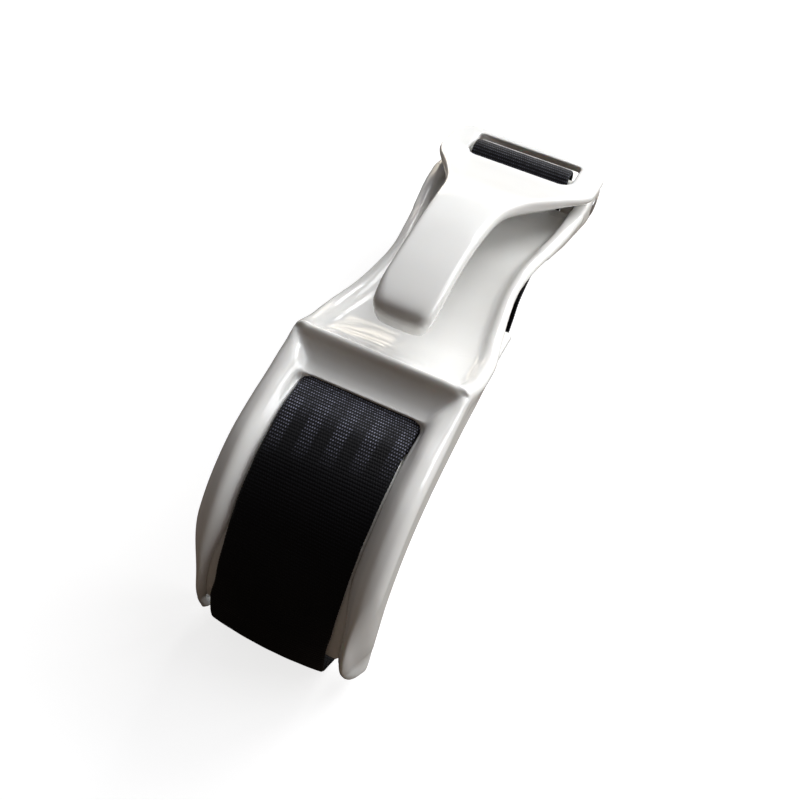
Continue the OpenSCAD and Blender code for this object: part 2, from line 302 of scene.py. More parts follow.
def make_mesh(name, verts, quads, vertex_normals=None):
    mesh = bpy.data.meshes.new(name)
    mesh.vertices.add(len(verts))
    mesh.vertices.foreach_set("co", world(verts).astype(np.float32).ravel())
    mesh.loops.add(quads.size)
    mesh.loops.foreach_set("vertex_index", quads.astype(np.int32).ravel())
    mesh.polygons.add(len(quads))
    mesh.polygons.foreach_set("loop_start", np.arange(0, quads.size, 4, dtype=np.int32))
    mesh.polygons.foreach_set("use_smooth", np.ones(len(quads), bool))
    mesh.update(calc_edges=True)
    mesh.validate()
    obj = bpy.data.objects.new(name, mesh)
    bpy.context.scene.collection.objects.link(obj)
    if vertex_normals is not None:
        mesh.normals_split_custom_set_from_vertices([tuple(n) for n in vertex_normals])
    return obj


def solid(name, field, low, high, step):
    verts, quads, outward = surface_net(field, low, high, step)
    # Wind the faces so that they look along the field's gradient
    a, b, c = verts[quads[:, 0]], verts[quads[:, 1]], verts[quads[:, 2]]
    if np.median((np.cross(b - a, c - a) * outward[quads[:, 0]]).sum(1)) < 0:
        quads = quads[:, ::-1]
    return make_mesh(name, verts, quads, outward)


# ---------------------------------------------------------------------------
# Shell.  Side outlines are y, z.
# ---------------------------------------------------------------------------
SHELL_TOP = [
    [-59.2, -53.0], [-62.2, -49.8], [-63.6, -44.6], [-63.4, -38.2], [-61.2, -30.5],
    [-55.5, -19.8], [-47.2, -10.2], [-37.2, -2.5], [-25.2, 3.0], [-12, 5.1], [-2, 5.3],
    [6, 5.4], [12, 5.7], [14.3, 4.7], [20, 0.2], [26, -4.0], [33, -7.6], [45, -11.2],
    [57, -12.9], [67, -14.0], [78, -15.4], [92, -19.2], [105, -21.6], [114, -24.0],
    [121, -26.4], [127, -27.6]]
SHELL_BOTTOM = [
    [-59.2, -53.0], [-56.4, -53.8], [-53.4, -50.8], [-47.2, -37.8], [-40.6, -25.8],
    [-32.2, -17.8], [-22, -13.0], [-10, -10.8], [4, -10.8], [16, -11.6], [27, -12.2],
    [34, -12.6], [45, -13.9], [57, -15.0], [69, -15.9], [83, -19.0], [92, -22.9],
    [101, -26.9], [112, -30.4], [127, -39.4]]
shell_top = Outline(curve(SHELL_TOP, 10), [[140, -28], [140, -90], [-59.2, -90]])
shell_bottom = Outline(curve(SHELL_BOTTOM, 8),
                       [[140, -44], [140, 60], [-95, 60], [-95, -53.0]])

# Deck between the sides: a step at the recess mouth, then the scooped floor
FLOOR = [[14.4, 5.2], [17.4, 0.5], [21.5, -4.1], [28, -8.2], [36, -11.8], [46, -14.3],
         [57, -15.9], [67, -17.0], [78, -18.6], [91, -22.6], [101, -25.6], [110, -27.8],
         [114, -28.6]]
STEP = [[0.9, 1.75], [2.6, 1.7], [5.2, 2.2], [7.8, 3.3], [9.9, 5.0], [11.3, 6.8],
        [12.6, 7.5], [13.6, 7.0], [14.4, 5.2]]
FLOOR_THICK = 2.6
floor_line = curve(FLOOR, 8)
floor_under = floor_line[floor_line[:, 0] > 17.0] + [0, -FLOOR_THICK]
deck_side = Outline(curve(STEP, 6)[:-1], floor_line, floor_under[::-1],
                    [[14.2, 0.7], [8, 0.55], [0.9, 0.55]])
floor_end_side = Outline([[106, -26.9], [112, -28.2], [116, -29.2], [118.6, -29.9],
                          [118.6, -31.0], [112, -30.6], [106, -29.4]])
ear_side = Outline([[90, -20.5], [98, -21.6], [107, -22.6], [114, -24.4], [121, -26.6]],
                   arc(HINGE, (7.6, 7.6), 90, -90, 24),
                   [[124, -39.6], [116, -34.2], [107, -30.0], [98, -26.2], [90, -22.5]])

# Arch shared by the plate and the rail foot it rests on, y, z
ARCH = [[-60.6, -37.4], [-58.55, -31.6], [-52.8, -22.1], [-44.6, -13.4], [-35.3, -6.2],
        [-24.2, -1.05]]
foot_top = curve(ARCH + [[-15, 0.95], [-9.5, 1.2], [-5.5, 0.9], [-1, 0.1], [4, -1.2]], 8)
foot_side = Outline(foot_top, offset(foot_top, 1.9)[::-1])

# Outer half width and the half width between the rails, y, |x|
HALF_WIDTH = curve([
    [-72, 28.4], [-57, 28.9], [-50, 29.2], [-40, 29.3], [-28, 29.1], [-8, 28.8], [12, 28.5],
    [20, 28.5], [33, 27.9], [45, 25.5], [57, 23.5], [67, 22.7], [78, 23.5], [91, 25.6],
    [101, 27.3], [110, 28.1], [118, 28.6], [150, 28.9]], 12)
CAVITY = curve([
    [-62, 22.5], [-55, 22.3], [-47, 21.3], [-38, 21.2], [-16, 21.1], [-7, 20.8], [0, 20.7],
    [3, 21.1], [6, 22.5], [9, 24.6], [12, 26.6], [14, 27.0]], 8)


def half_width(y):
    return np.interp(y, HALF_WIDTH[:, 0], HALF_WIDTH[:, 1])


def foot_inner(y):
    """|x| of the rail foot's inner edge, beside the webbing."""
    return 19.9 - 0.45 * ease(-24.0, -10.0, y) + 2.7 * ease(-43.0, -56.5, y)


def shell_sides(absx, y, z, top, half, tip, low_tip):
    """Rails and rims, with the foot blended into each rail's inner wall."""
    rail = 1 - ease(-9, 13, y)
    # Crowns fall away outwards from the crest line
    crest = (23.8 - 0.8 * tip + 2.4 * tip * low_tip) * rail + (half - 3.0) * (1 - rail)
    crown = top + ((0.085 * rail + 0.05 * (1 - rail)) * np.maximum(absx - crest, 0) ** 2)
    under = shell_bottom(y, z) + 0.05 * np.maximum(absx - 25.5, 0) ** 2
    # Inner wall flares near the top, and follows the outside beyond the recess
    wall = np.interp(y, CAVITY[:, 0], CAVITY[:, 1]) + 0.50 * np.clip(2.7 + top, 0, 4)
    scooped = ease(11.6, 14.2, y)
    inner = wall * (1 - scooped) + (half - 3.5) * scooped
    side = soft_max(soft_max(crown, under, 2.0), between(absx, inner, half, 1.2), 2.4)
    foot = soft_max(foot_side(y, z), between(absx, foot_inner(y), 24.0, 0.6), 0.9)
    fillet = 2.2 + 1.4 * ease(0.0, -24.0, y) - 2.4 * ease(-43.0, -57.5, y)
    return soft_min(side, foot, fillet)


def shell_deck(absx, y, z, top, half):
    # The floor dishes up towards the walls; the lip drops at its two ends
    dish = 1.5 * ease(15, 30, y) * (absx / 24.0) ** 4
    drop = 0.5 * ease(19.5, 27.0, absx) * ease(7.0, 11.5, y) * (1 - ease(14.5, 20.0, y))
    edge = half - 0.3 - 2.9 * (1 - ease(5.0, 24.0, y))
    taper = 0.55 * np.maximum(-top - 2.0, 0) * ease(14, 24, y)
    return soft_max(deck_side(y, z - np.minimum(dish, 3.0) + drop), absx - edge + taper, 2.4)


def shell(x, y, z):
    absx = soft_abs(x)
    top = shell_top(y, z)
    # The -y tips narrow towards their crowns
    tip = ease(-45.0, -59.0, y)
    low_tip = ease(-45.0, -51.0, z)
    depth = 12.0 - 9.5 * ease(-43.0, -52.0, z)
    half = half_width(y) - (4.2 - 2.4 * low_tip) * tip * np.clip(1 + top / depth, 0, 1)
    body = soft_min(shell_sides(absx, y, z, top, half, tip, low_tip),
                    shell_deck(absx, y, z, top, half), 3.6)
    # Room for the lever's lugs, then the thin end of the floor
    lug_room = soft_max(soft_max(112.9 - y, absx - 24.45, 0.6), -20.0 - z, 0.5)
    body = cut(body, lug_room, 0.7)
    floor_end = soft_max(floor_end_side(y, z), soft_max(absx - 25.2, 106.0 - y, 0.3), 0.5)
    body = soft_min(body, floor_end, 0.8)
    # Hinge ears, rounded about the hinge
    outer = np.minimum(28.8, half_width(y) + 0.1 - 0.7 * (1 - ease(96.0, 110.0, y)))
    inner = np.minimum(24.5, half_width(y) - 3.2)
    ear = soft_max(ear_side(y, z), between(absx, inner, outer, 0.6), 1.1)
    body = soft_min(body, ear, 2.4)
    past_hinge = np.sqrt(np.maximum(y - HINGE[0], 0) ** 2 + (z - HINGE[1]) ** 2)
    body = soft_max(body, past_hinge - 7.5 - 0.7 * np.maximum(HINGE[0] - y, 0), 1.0)
    # Bosses and holes for the plate screws
    screw = radius(absx, y, PLATE_SCREW)
    boss = soft_max(screw - 3.0, between(z, -14.2, -11.0, 0.5), 0.6)
    body = soft_min(body, boss, 0.8)
    body = cut(body, soft_max(screw - 1.25, z + 11.2, 0.1), 0.1)
    # Bush holes and anchor pin bores
    body = cut(body, radius(y, z, HINGE) - 3.25, 0.3)
    pin = soft_max(radius(y, z, ANCHOR_PIN) - 2.05, absx - 25.5, 0.1)
    return cut(body, pin, 0.1)


# ---------------------------------------------------------------------------
# Arched plate
# ---------------------------------------------------------------------------
PLATE_THICK = 2.6
PLATE_CORNER = 1.3
plate_top = curve(ARCH + [
    [-15, 0.6], [-9.5, -1.3], [-2, -2.4], [2.5, -4.6], [6, -7.3], [14.5, -8.2],
    [20, -11.3], [25, -13.9], [34, -15.6], [44, -17.4], [54.5, -20.2]], 8)
plate_side = Outline(plate_top, offset(plate_top, PLATE_THICK)[::-1])


def plate(x, y, z):
    absx = soft_abs(x)
    # Fits between the feet, then widens in two steps towards +y
    half = foot_inner(y) - 0.12 + 1.8 * ease(3.5, 7.0, y) + 5.6 * ease(24.4, 26.4, y)
    qx, qy = np.maximum(absx - (half - PLATE_CORNER), 0), np.maximum(y - 53.2, 0)
    body = soft_max(plate_side(y, z), np.sqrt(qx * qx + qy * qy) - PLATE_CORNER, 1.0)
    return cut(body, radius(absx, y, PLATE_SCREW) - 1.6, 0.2)


# ---------------------------------------------------------------------------
# Lever.  Side outlines are y, z; the half plan is y, x.
# ---------------------------------------------------------------------------
LEVER_TOP = [
    [20.9, 6.4], [21.2, 9.6], [23.2, 13.0], [27.4, 15.2], [38, 15.9], [48, 15.5],
    [60, 14.0], [70, 11.5], [76, 9.3], [80, 7.1], [85, 4.0], [92, -0.4], [101, -6.6],
    [110, -12.6], [118, -17.7], [124, -20.6], [132, -23.2], [141.9, -25.9]]
LEVER_BOTTOM = [
    [20.9, 6.4], [21.6, 4.2], [23.8, 3.2], [28, 4.0], [36, 6.0], [48, 6.8], [60, 5.8],
    [72, 2.6], [82, -1.6], [92, -7.2], [101, -12.6], [110, -17.2], [118, -21.4],
    [124, -23.9], [132, -26.6], [141.9, -29.2]]
LEVER_PLAN = [
    [20.8, 0.0], [20.9, 3.8], [21.8, 7.6], [24.8, 10.0], [32, 10.5], [46, 10.5],
    [61, 11.0], [73, 11.8], [82, 13.1], [90, 15.4], [98, 19.0], [106.5, 23.6],
    [113, 27.6], [118.2, 30.1], [121.2, 30.9]]
lever_top = Outline(curve(LEVER_TOP, 10), [[150, -28.1], [150, -80], [-10, -80], [-10, 6.4]])
lever_bottom = Outline(curve(LEVER_BOTTOM, 10), [[150, -31.2], [150, 60], [-10, 60], [-10, 6.4]])
half_plan = np.vstack([curve(LEVER_PLAN, 10)[:, ::-1], [[31.0, 122.5], [31.0, 133.9]],
                       arc((22.9, 133.9), (8.0, 8.0), 0, 90, 12)])
lever_plan = Outline(half_plan, (half_plan * [-1, 1])[::-1],
                     low=(-36.0, 14.0), high=(36.0, 148.0))


def lever(x, y, z):
    absx = soft_abs(x)
    top = lever_top(y, z + 0.0030 * x * x * (1 - ease(70, 95, y)))
    plan = lever_plan(x, y)
    # Edges are roundest at the -y nose
    nose = 1 - ease(24, 36, y)
    top_fillet = 2.4 + 3.0 * nose - 0.3 * ease(80, 100, y)
    bottom_fillet = 7.4 + 3.0 * nose - 5.6 * ease(72, 98, y)
    body = soft_max(soft_max(top, plan, top_fillet),
                    soft_max(lever_bottom(y, z), plan, bottom_fillet), 2.4)
    # Strap slot
    slot_corner = 1.6 + 3.2 * (1 - ease(124, 130, y))
    body = cut(body, rounded_rect(x, y, 129.2, 20.5, 7.9, slot_corner), 1.0)
    # Lugs round the hinge, on webs that widen downwards from the handle
    hinge = radius(y, z, HINGE)
    lean = 0.10 * (z + 26)
    web_height = soft_max(HINGE[1] - z, z + 22.5 + 0.35 * (y - 124), 0.5)
    web = soft_max(soft_max(122.4 - y + lean, y - 137.4 - lean, 1.0), web_height, 0.5)
    lug = soft_max(soft_min(hinge - 6.2, web, 2.0), between(absx, 20.6, 23.9, 0.5), 0.9)
    body = soft_min(body, lug, 1.2)
    # Cheeks on the -y side of the bar ends
    cheek = soft_max(between(absx, 19.4, 23.9, 0.4), between(z, -33.2, -21.0, 0.4), 0.4)
    body = soft_min(body, soft_max(between(y, 119.4, 124.0, 0.5), cheek, 0.5), 0.8)
    # Pocket under the handle, with its two screw posts
    pocket = soft_max(rounded_rect(x, y, COVER_Y, *POCKET_HALF, 2.0), top + 2.6, 0.6)
    posts = [soft_max(radius(x, y, (0, screw_y)) - 2.6, post_z - z, 0.2)
             for screw_y, post_z, _ in COVER_SCREWS]
    body = cut(body, cut(pocket, np.minimum(*posts), 0.2), 0.5)
    # Bores for the strap bar and the hinge studs
    bar = radius(y, z, STRAP_BAR)
    for bore, depth in ((bar - 1.64, 23.4), (hinge - 2.06, 24.4)):
        body = cut(body, soft_max(bore, between(absx, 19.0, depth, 0.1), 0.1), 0.1)
    return body


def cover(x, y, z):
    under = lever_bottom(y, z)
    half_x, half_y = [size - COVER_GAP for size in POCKET_HALF]
    body = soft_max(between(under, -1.7, -0.12, 0.4),
                    rounded_rect(x, y, COVER_Y, half_x, half_y, 1.9), 0.7)
    # A low collar round each sunk screw head
    for screw_y, _, seat_z in COVER_SCREWS:
        screw = radius(x, y, (0, screw_y))
        height = soft_max(seat_z - 1.35 - z, -(under + 1.5), 0.2)
        body = soft_min(body, soft_max(screw - 3.9, height, 0.6), 0.5)
        body = cut(body, screw - 1.35, 0.2)
        body = cut(body, soft_max(screw - 2.45, z - seat_z - 0.1, 0.1), 0.2)
    return body


GRID = 0.8
COVER_GRID = 0.7
shell_obj = solid("shell_upper_moulding", shell, (-31, -68, -60), (31, 142, 11), GRID)
plate_obj = solid("plate_arched", plate, (-29, -66, -46), (29, 59, 4), GRID)
lever_obj = solid("lever_moulding", lever, (-33, 19, -44), (33, 145, 19), GRID)
cover_obj = solid("lever_cover_under", cover, (-9, 29, -14), (9, 97, 11), COVER_GRID)

# ---------------------------------------------------------------------------
# Webbing: one strip swept along its centre line, y, z
# ---------------------------------------------------------------------------
WEB_THICK = 1.4
WEB_HALF = 19.0       # half width
WEB_COLUMNS = 76
WEB_STEP = 0.5        # between rings
SELVEDGE = 0.9        # width of the thinned edge
ROW_PITCH = 1.0       # between weft rows

WEB_START = [[-8.8, 0.0], [-5.6, -0.35], [-1.5, -1.25], [2.2, -2.0], [5.2, -3.7], [7.2, -5.2]]
# Upper face of the run over the plate and round the -y end
WEB_RUN_FACE = [
    [-1.0, 0.9], [-5.5, 1.9], [-12, 2.5], [-24.5, 0.4], [-36, -4.9], [-45.5, -12.3],
    [-54, -21.2], [-60, -31.0], [-62.4, -37.0], [-63.8, -41.4], [-64.2, -45.4],
    [-63.0, -49.4], [-60.0, -52.8], [-55.6, -55.0], [-50, -55.9], [-42, -56.0]]
# Underneath towards +y, then up to the strap bar
WEB_RISER = [
    [20, -55.3], [50, -55.3], [64, -55.2], [69.6, -54.4], [74.6, -51.6], [78.6, -46.0],
    [82.6, -40.6], [88.7, -38.1], [98, -37.2], [108, -36.6], [114, -35.7], [118.6, -34.0],
    [122.4, -31.6]]
WEB_TAIL = [[122.0, -29.0], [119.6, -31.3], [116.2, -32.6], [111, -33.6], [104, -34.4],
            [94, -34.8], [86, -34.2]]


def distances(line):
    steps = np.linalg.norm(np.diff(line, axis=0), axis=1)
    return np.concatenate([[0], np.cumsum(steps)])


def web_line():
    """Evenly spaced centre line and the distance of each point along it."""
    path = curve(np.vstack([
        WEB_START, arc(ANCHOR_PIN, (2.80, 2.80), 238, 452, 26), [[7.0, -0.2], [3.0, -0.1]],
        offset(curve(WEB_RUN_FACE, 10), -WEB_THICK / 2), WEB_RISER,
        arc((127.5, -25.1), (4.5, 4.35), -98, 190, 34), WEB_TAIL]), 6)
    # Drop repeated points before resampling
    gaps = np.linalg.norm(np.diff(path, axis=0), axis=1)
    path = path[np.concatenate([[True], gaps > 1e-4])]
    travelled = distances(path)
    along = np.arange(0, travelled[-1], WEB_STEP)
    line = np.stack([np.interp(along, travelled, path[:, q]) for q in range(2)], 1)
    for _ in range(3):
        line[1:-1] = 0.25 * line[:-2] + 0.5 * line[1:-1] + 0.25 * line[2:]
    return line, along


def web_section():
    """x and height round the section: thin selvedges and faint lengthwise ribs."""
    x = np.linspace(-1, 1, WEB_COLUMNS + 1) * WEB_HALF
    edge = np.clip((np.abs(x) - (WEB_HALF - SELVEDGE)) / SELVEDGE, 0, 1)
    half = (WEB_THICK / 2) * np.sqrt(1 - edge ** 2 * 0.94)
    ribs = 0.055 * np.cos(x * 2 * math.pi / 7.4) * (1 - edge)
    return (np.concatenate([x, x[::-1]]),
            np.concatenate([half + ribs, -(half + ribs * 0.3)[::-1]]))


def web_verts(line, along, ring_x, ring_height):
    line_y, line_z = line[:, 0], line[:, 1]
    side = normals(line)
    across = ring_x / WEB_HALF
    # Rows pulse in width, and the free edges wander a little
    pulse = 1 + 0.0022 * np.cos(along * 2 * math.pi / ROW_PITCH)
    wander = 0.05 * np.sin(along * 0.21) + 0.03 * np.sin(along * 0.53 + 1.0)
    verts = np.zeros((len(line), len(ring_x), 3))
    verts[:, :, 0] = ring_x[None, :] * pulse[:, None] + wander[:, None]
    # The middle bulges outwards at the -y bend
    fold = ease(-57.0, -61.5, line_y) * ease(-55.8, -52.5, line_z)
    bulge = 1.5 * (1 - across ** 2)[None, :] * fold[:, None]
    verts[:, :, 1] = line_y[:, None] - side[:, 0, None] * ring_height - bulge * 0.8
    verts[:, :, 2] = line_z[:, None] - side[:, 1, None] * ring_height - bulge * 0.35
    # The bend sits a little askew between the prongs
    low = ease(-44.0, -50.0, line_z) * ease(-52.0, -58.5, line_y)
    verts[:, :, 2] += 0.9 * low[:, None] * (1 + across)[None, :]
    verts[:, :, 0] = verts[:, :, 0] * (1 + 0.012 * fold[:, None]) - 0.75 * fold[:, None]
    # The run underneath drifts towards +x
    drift = ease(30.0, 58.0, line_y) * (1 - ease(90.0, 112.0, line_y)) * (line_z < -36.0)
    verts[:, :, 0] += 1.2 * drift[:, None]
    return verts.reshape(-1, 3)


def web_quads(rings, ring_size):
    index = np.arange(rings * ring_size).reshape(rings, ring_size)
    near, far = index[:-1], index[1:]
    sides = np.stack([near, np.roll(near, -1, 1), np.roll(far, -1, 1), far], -1)
    caps = []
    for row in (index[0], index[-1]):
        back = row[::-1]
        caps.append(np.stack([row[:WEB_COLUMNS], row[1:WEB_COLUMNS + 1],
                              back[1:WEB_COLUMNS + 1], back[:WEB_COLUMNS]], 1))
    return np.vstack([sides.reshape(-1, 4), caps[0][:, ::-1], caps[1]])


def build_webbing():
    line, along = web_line()
    ring_x, ring_height = web_section()
    verts = web_verts(line, along, ring_x, ring_height)
    obj = make_mesh("webbing_strip", verts, web_quads(len(line), len(ring_x)))
    mesh = obj.data
    # Painted glints: mask for where bright thread highlights are painted into the webbing's colour,
    # strongest over the plate's +y part and weaker at the strap bar
    y = verts[:, 1]
    painted_glint_mask = np.clip((y - 0.16 * verts[:, 0] + 26.0) / 25.0, 0, 1)
    painted_glint_mask = painted_glint_mask * ((y < 8) & (verts[:, 2] > -24.0)) + 0.42 * ease(118.0, 124.0, y)
    for name, values in (("web_u", np.tile(ring_x, len(line))),
                         ("web_v", np.repeat(along, len(ring_x))),
                         ("web_painted_glint", np.clip(painted_glint_mask, 0, 1))):
        attribute = mesh.attributes.new(name, "FLOAT", "POINT")
        attribute.data.foreach_set("value", values.astype(np.float32))
    edit = bmesh.new()
    edit.from_mesh(mesh)
    bmesh.ops.recalc_face_normals(edit, faces=edit.faces)
    edit.to_mesh(mesh)
    edit.free()
    mesh.update()
    return obj


webbing_obj = build_webbing()


# ---------------------------------------------------------------------------
# Materials
# ---------------------------------------------------------------------------
class Nodes:
    """Short ways to add nodes; a value may be a number, a colour or a socket."""

    def __init__(self, tree):
        self.tree = tree

    def node(self, kind, **settings):
        node = self.tree.nodes.new(kind)
        for name, value in settings.items():
            setattr(node, name, value)
        return node

    def put(self, socket, value):
        if isinstance(value, bpy.types.NodeSocket):
            self.tree.links.new(value, socket)
        elif socket.type == "RGBA":
            socket.default_value = (*value, 1)
        else:
            socket.default_value = value

    def filled(self, kind, inputs, **settings):
        node = self.node(kind, **settings)
        for key, value in inputs.items():
            self.put(node.inputs[key], value)
        return node.outputs[0]

    def coords(self, kind="Object"):
        return self.node("ShaderNodeTexCoord").outputs[kind]

    def axis(self, vector, name):
        node = self.node("ShaderNodeSeparateXYZ")
        self.put(node.inputs[0], vector)
        return node.outputs[name]

    def calc(self, operation, *values):
        return self.filled("ShaderNodeMath", dict(enumerate(values)), operation=operation)

    def noise(self, vector, scale, detail):
        return self.filled("ShaderNodeTexNoise",
                           {"Vector": vector, "Scale": scale, "Detail": detail})

    def ramp(self, value, to, over=(0.0, 1.0), kind="LINEAR"):
        return self.filled("ShaderNodeMapRange", {
            "From Min": over[0], "From Max": over[1], "To Min": to[0], "To Max": to[1],
            "Value": value}, interpolation_type=kind)

    def mix(self, factor, first, second):
        node = self.node("ShaderNodeMix", data_type="RGBA")
        for index, value in ((0, factor), (6, first), (7, second)):
            self.put(node.inputs[index], value)
        return node.outputs[2]

    def mix_shader(self, factor, first, second):
        return self.filled("ShaderNodeMixShader", {0: factor, 1: first, 2: second})

    def emission(self, color, strength):
        return self.filled("ShaderNodeEmission", {"Color": color, "Strength": strength})

    def camera_ray(self):
        return self.node("ShaderNodeLightPath").outputs["Is Camera Ray"]

    def bump(self, height, strength, distance, **normal):
        return self.filled("ShaderNodeBump", {
            "Strength": strength, "Distance": distance, "Height": height, **normal})


class Mat(Nodes):
    def __init__(self, name, principled=True):
        self.material = bpy.data.materials.new(name)
        self.material.use_nodes = True
        super().__init__(self.material.node_tree)
        self.tree.nodes.clear()
        self.surface = self.node("ShaderNodeOutputMaterial").inputs[0]
        if principled:
            self.bsdf = self.node("ShaderNodeBsdfPrincipled")
            self.put(self.surface, self.bsdf.outputs[0])

    def shade(self, inputs):
        for name, value in inputs.items():
            self.put(self.bsdf.inputs[name], value)


def plastic(name, color, rough):
    mat = Mat(name)
    coords = mat.coords()
    broad = mat.noise(coords, scale=26.0, detail=3.0)
    medium = mat.noise(coords, scale=160.0, detail=4.0)
    fine = mat.noise(coords, scale=1500.0, detail=3.0)
    tint = mat.ramp(broad, to=(0.0, 1.0), over=(0.35, 0.68))
    base = mat.mix(tint, tuple(c * 0.965 for c in color), color)
    warm = (color[0] * 0.93, color[1] * 0.915, color[2] * 0.88)
    base = mat.mix(mat.ramp(medium, to=(0.0, 0.10), over=(0.45, 0.75)), base, warm)
    patches = mat.ramp(broad, to=(rough * 0.8, rough * 1.25), over=(0.35, 0.68))
    speckle = mat.ramp(medium, to=(-0.015, 0.02), over=(0.4, 0.7))
    roughness = mat.calc("ADD", patches, speckle)
    normal = mat.bump(broad, strength=0.10, distance=0.0006)
    normal = mat.bump(medium, strength=0.05, distance=0.00012, Normal=normal)
    normal = mat.bump(fine, strength=0.06, distance=0.00002, Normal=normal)
    mat.shade({"Base Color": base, "Roughness": roughness, "IOR": 1.53,
               "Subsurface Weight": 0.10, "Subsurface Radius": (0.0026, 0.0022, 0.0018),
               "Subsurface Scale": 1.0, "Normal": normal})
    return mat.material


def webbing_material(name):
    mat = Mat(name)
    # The painted-glint mask says where thread highlights are painted
    across, along, painted_glint_mask = [
        mat.node("ShaderNodeAttribute", attribute_name=attribute).outputs["Fac"]
        for attribute in ("web_u", "web_v", "web_painted_glint")]
    coords = mat.coords()
    # Weft floats lie in rows, every other row half a float on
    float_length = 0.74
    rows = mat.calc("DIVIDE", along, ROW_PITCH)
    row = mat.calc("FLOOR", rows)
    odd = mat.calc("MODULO", mat.calc("ABSOLUTE", row), 2.0)
    floats = mat.calc("ADD", mat.calc("DIVIDE", across, float_length),
                      mat.calc("MULTIPLY", odd, 0.5))
    in_float, in_row = [mat.calc("SUBTRACT", mat.calc("FRACT", count), 0.5)
                        for count in (floats, rows)]
    arch_u, arch_v = [mat.calc("COSINE", mat.calc("MULTIPLY", place, math.pi))
                      for place in (in_float, in_row)]
    crown = mat.calc("MULTIPLY", mat.calc("POWER", arch_u, 0.7),
                     mat.calc("POWER", arch_v, 1.3))
    fuzz = mat.noise(coords, scale=1100.0, detail=2.0)
    dust = mat.noise(coords, scale=55.0, detail=3.0)
    grain = mat.noise(coords, scale=420.0, detail=2.0)
    # Lengthwise panels where the floats lie on top
    panel_pitch = 8.4
    panel = mat.calc("COSINE", mat.calc("MULTIPLY", mat.calc("SUBTRACT", across, 0.5),
                                        2 * math.pi / panel_pitch))
    gap_level = mat.ramp(mat.calc("ADD", painted_glint_mask, mat.calc("MULTIPLY", grain, 0.05)),
                         to=(0.0, 0.85), over=(0.52, 1.0))
    panel = mat.ramp(panel, to=(gap_level, 1.0), over=(-0.20, 0.30))
    cell = mat.filled("ShaderNodeCombineXYZ", {0: mat.calc("FLOOR", floats), 1: row})
    random = mat.node("ShaderNodeTexWhiteNoise", noise_dimensions="2D")
    mat.put(random.inputs["Vector"], cell)
    dots = mat.ramp(crown, to=(0.0, 1.0), over=(0.58, 0.95))
    level = mat.calc("MULTIPLY", mat.ramp(painted_glint_mask, to=(0.0, 1.0), over=(0.10, 0.6)),
                     mat.ramp(random.outputs["Value"], to=(0.35, 1.15)))
    # The turn in the lever slot has no bands
    turn = mat.ramp(mat.axis(coords, "Y"), to=(0.0, 1.0), over=(0.070, 0.080))
    panel = mat.ramp(turn, to=(panel, 0.42))
    # Painted highlight: bright bluish glints on the float crowns, limited by the panels and the
    # glint mask
    painted_glint = mat.calc("MULTIPLY", mat.calc("MULTIPLY", dots, panel), level)
    height = mat.calc("ADD", crown, mat.calc("MULTIPLY", fuzz, 0.25))
    black, thread = (0.0022, 0.0022, 0.0028), (0.0062, 0.0064, 0.0090)
    dusty, painted_glint_color = (0.0085, 0.0087, 0.0105), (0.27, 0.28, 0.38)
    base = mat.mix(mat.ramp(crown, to=(0.0, 1.0), over=(0.2, 0.9)), black, thread)
    base = mat.mix(mat.ramp(dust, to=(0.0, 0.5), over=(0.4, 0.75)), base, dusty)
    # The painted glints go into the base colour
    base = mat.mix(painted_glint, base, painted_glint_color)
    rough = mat.ramp(mat.calc("ADD", dust, mat.calc("MULTIPLY", crown, 0.2)),
                     to=(0.66, 0.48), over=(0.35, 0.95))
    specular = mat.calc("ADD", 0.14, mat.calc("MULTIPLY", painted_glint_mask, 0.10))
    mat.shade({"Base Color": base, "Roughness": rough, "Specular IOR Level": specular,
               "Normal": mat.bump(height, strength=0.8, distance=0.00014)})
    return mat.material


def metal(name, color, rough):
    mat = Mat(name)
    coords = mat.coords()
    # Fine turning marks, spaced along x
    stretched = mat.filled("ShaderNodeMapping",
                           {"Vector": coords, "Scale": (4000.0, 300.0, 300.0)})
    marks = mat.noise(stretched, scale=1.0, detail=2.0)
    grime = mat.noise(coords, scale=400.0, detail=3.0)
    base = mat.mix(mat.ramp(grime, to=(0.0, 1.0), over=(0.4, 0.7)),
                   tuple(c * 0.8 for c in color), color)
    rough = mat.calc("ADD", mat.ramp(marks, to=(rough * 0.7, rough * 1.4), over=(0.3, 0.7)),
                     mat.ramp(grime, to=(0, 0.12), over=(0.55, 0.75)))
    mat.shade({"Base Color": base, "Metallic": 1.0, "Roughness": rough,
               "Normal": mat.bump(marks, strength=0.15, distance=0.00002)})
    return mat.material


shell_white = plastic("white_gloss", color=(0.82, 0.815, 0.795), rough=0.12)
lever_white = plastic("white_lever", color=(0.82, 0.817, 0.80), rough=0.16)
plate_white = plastic("white_plate", color=(0.78, 0.775, 0.75), rough=0.26)
acetal = plastic("natural_acetal", color=(0.72, 0.71, 0.66), rough=0.42)
steel = metal("turned_steel", color=(0.56, 0.57, 0.58), rough=0.30)
web_black = webbing_material("black_webbing")

STEEL_PARTS = ("plate_screws", "anchor_pin", "pivot_stud_left", "pivot_stud_right",
               "stud_washer_left", "stud_washer_right", "cover_screws", "strap_bar")
ACETAL_PARTS = ("ear_bush_left", "ear_bush_right", "bar_roller")


def set_material(obj, material):
    obj.data.materials.clear()
    obj.data.materials.append(material)


for obj, material in ((shell_obj, shell_white), (plate_obj, plate_white),
                      (lever_obj, lever_white), (cover_obj, plate_white),
                      (webbing_obj, web_black)):
    set_material(obj, material)
for name, obj in frame["nodes"].items():
    if name in STEEL_PARTS:
        set_material(obj, steel)
    elif name in ACETAL_PARTS:
        set_material(obj, acetal)

